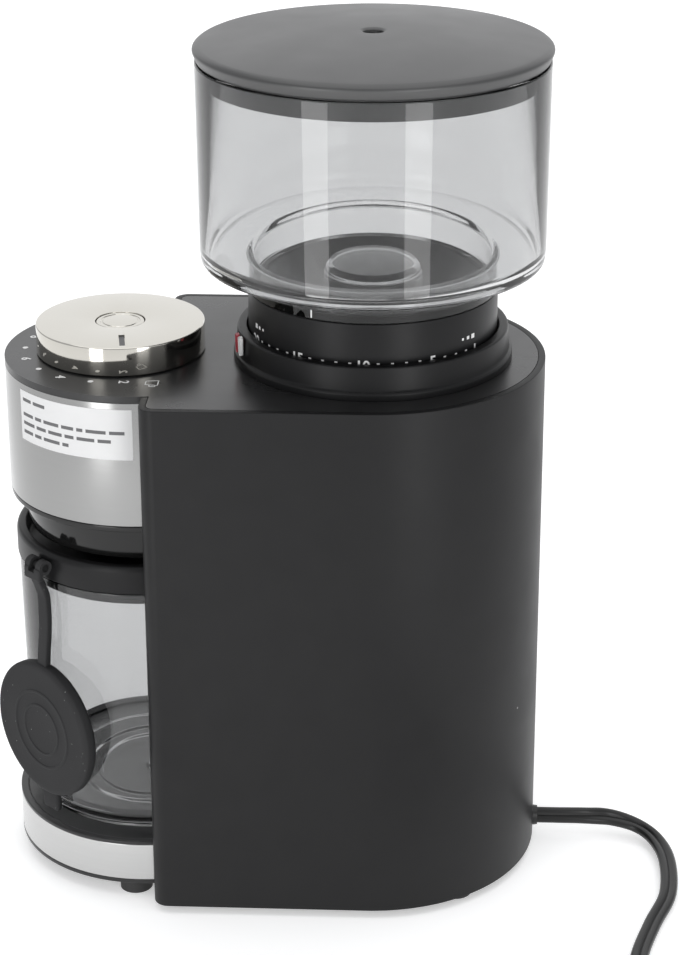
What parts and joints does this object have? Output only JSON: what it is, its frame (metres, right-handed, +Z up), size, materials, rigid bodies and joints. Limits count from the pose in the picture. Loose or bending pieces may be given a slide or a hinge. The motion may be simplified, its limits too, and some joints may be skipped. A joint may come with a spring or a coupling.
{
  "type": "burr coffee grinder",
  "caption": "Countertop burr coffee grinder with a clear hopper, a twist grind-size collar, a dial with a start button and a slide-out grounds container under a round nose.",
  "frame": {"origin": "on the worktop, under the middle of the bounding box of the grinder without its cord; the vertical axis of the burrs and hopper is at x = 0, y = 0.035165 m", "axes": "+Z up along the burr axis; -Y is the front, where the dial and the grounds container are; +X is the side seen with the front on its left"},
  "size_m": [0.2456, 0.2345, 0.29],
  "materials": {
    "casing_black": "fine satin moulded plastic, near black",
    "top_gloss_black": "smooth semi-gloss black cover with white printing",
    "gloss_black": "glossy black plastic",
    "lid_black": "satin dark plastic",
    "steel_band": "brushed stainless sheet",
    "knob_chrome": "polished warm nickel plate",
    "clear_plastic": "clear light-grey moulded plastic",
    "silicone_grey": "matt dark grey silicone",
    "rubber_black": "matt black rubber",
    "cord_black": "black cord sheath",
    "inner_plastic": "grey moulded plastic inside",
    "gear_plastic": "ivory acetal",
    "brass_fitting": "plain brass",
    "burr_steel": "hardened ground steel",
    "deck_metal": "pressed aluminium plate",
    "motor_steel": "zinc-plated steel",
    "magnet_dark": "dark ferrite and carbon",
    "screw_steel": "zinc-plated steel",
    "circuit_board": "green board",
    "mark_red": "red paint",
    "mark_white": "white paint"
  },
  "bodies": {
    "casing": {"housing": "casing_black", "nose_shell": "casing_black", "top_plate": "top_gloss_black", "hopper_ring": "casing_black", "nose_band": "steel_band", "platform_band": "steel_band", "container_platform": "casing_black", "base_plate": "casing_black", "foot_pads": "rubber_black", "foot_screws": "screw_steel", "chute_cone": "gloss_black", "outlet_chute": "gloss_black", "timer_module": "inner_plastic", "start_switch": "inner_plastic", "control_board": "circuit_board", "board_posts": "inner_plastic", "index_mark_red": "mark_red", "index_mark_white": "mark_white", "grinding_chamber": "inner_plastic", "shaft_bushes": "brass_fitting", "hopper_switch": "inner_plastic", "gear_deck": "deck_metal", "gear_cover": "deck_metal", "frame_posts": "inner_plastic", "idler_pin": "burr_steel", "motor_can": "motor_steel", "motor_magnets": "magnet_dark", "motor_bushes": "brass_fitting", "motor_brushes": "magnet_dark", "terminal_block": "inner_plastic", "strain_relief": "rubber_black", "cord_tube": "cord_black", "cord_coil": "cord_black", "power_plug": "cord_black", "plug_prongs": "brass_fitting"},
    "dial": {"dial_knob": "knob_chrome", "dial_spindle": "inner_plastic"},
    "button": {"start_button": "knob_chrome", "button_spring": "screw_steel"},
    "burr_drive": {"burr_shaft": "burr_steel", "cone_burr": "burr_steel", "sweeper": "inner_plastic", "burr_nut": "brass_fitting", "main_gear": "gear_plastic"},
    "idler": {"idler_gear": "gear_plastic"},
    "motor_rotor": {"motor_shaft": "burr_steel", "rotor_core": "motor_steel", "commutator": "brass_fitting", "motor_pinion": "brass_fitting"},
    "adjuster": {"grind_ring": "inner_plastic"},
    "carrier": {"burr_carrier": "inner_plastic", "ring_burr": "burr_steel"},
    "hopper_unit": {"hopper": "clear_plastic", "hopper_collar": "casing_black", "guard_throat": "casing_black", "finger_guard": "clear_plastic"},
    "hopper_cap": {"hopper_lid": "lid_black"},
    "container_unit": {"container": "clear_plastic", "container_lid": "lid_black"},
    "plug_strap": {"lid_plug": "silicone_grey"}
  },
  "joints": [
    {"name": "grind_adjust", "type": "hinge", "parent": "casing", "child": "adjuster", "pos_m": [0, 0.03517, 0.185], "axis": [0, 0, 1], "range_deg": [-127, 12]},
    {"name": "burr_travel", "type": "slide", "parent": "casing", "child": "carrier", "axis": [0, 0, 1], "range_m": [-0.0013, 0.00025]},
    {"name": "hopper_lift", "type": "slide", "parent": "adjuster", "child": "hopper_unit", "axis": [0, 0, 1], "range_m": [0, 0.06]},
    {"name": "hopper_lid_lift", "type": "slide", "parent": "hopper_unit", "child": "hopper_cap", "axis": [0, 0, 1], "range_m": [0, 0.05]},
    {"name": "dial_turn", "type": "hinge", "parent": "casing", "child": "dial", "pos_m": [0, -0.04843, 0.187], "axis": [0, 0, 1], "range_deg": [-195, 0]},
    {"name": "start_press", "type": "slide", "parent": "casing", "child": "button", "axis": [0, 0, -1], "range_m": [0, 0.0015], "stiffness_N_per_m": 250, "springref_m": -0.002, "deforming": ["button_spring"]},
    {"name": "burr_spin", "type": "hinge", "parent": "casing", "child": "burr_drive", "pos_m": [0, 0.03517, 0.12], "axis": [0, 0, 1], "continuous": true},
    {"name": "idler_spin", "type": "hinge", "parent": "casing", "child": "idler", "pos_m": [0.02129, 0.05009, 0.09], "axis": [0, 0, 1], "continuous": true},
    {"name": "motor_spin", "type": "hinge", "parent": "casing", "child": "motor_rotor", "pos_m": [0, 0.06116, 0.05], "axis": [0, 0, 1], "continuous": true},
    {"name": "container_slide", "type": "slide", "parent": "casing", "child": "container_unit", "axis": [0, -1, 0], "range_m": [0, 0.14]},
    {"name": "plug_swing", "type": "hinge", "parent": "container_unit", "child": "plug_strap", "pos_m": [0.03386, -0.07371, 0.118], "axis": [-0.682, -0.7314, 0], "range_deg": [0, 120]}
  ],
  "couplings": [
    {"joint": "burr_travel", "follows": "grind_adjust", "m_per_rad": 0.00055},
    {"joint": "idler_spin", "follows": "burr_spin", "ratio": -3.3333},
    {"joint": "motor_spin", "follows": "burr_spin", "ratio": 10}
  ]
}
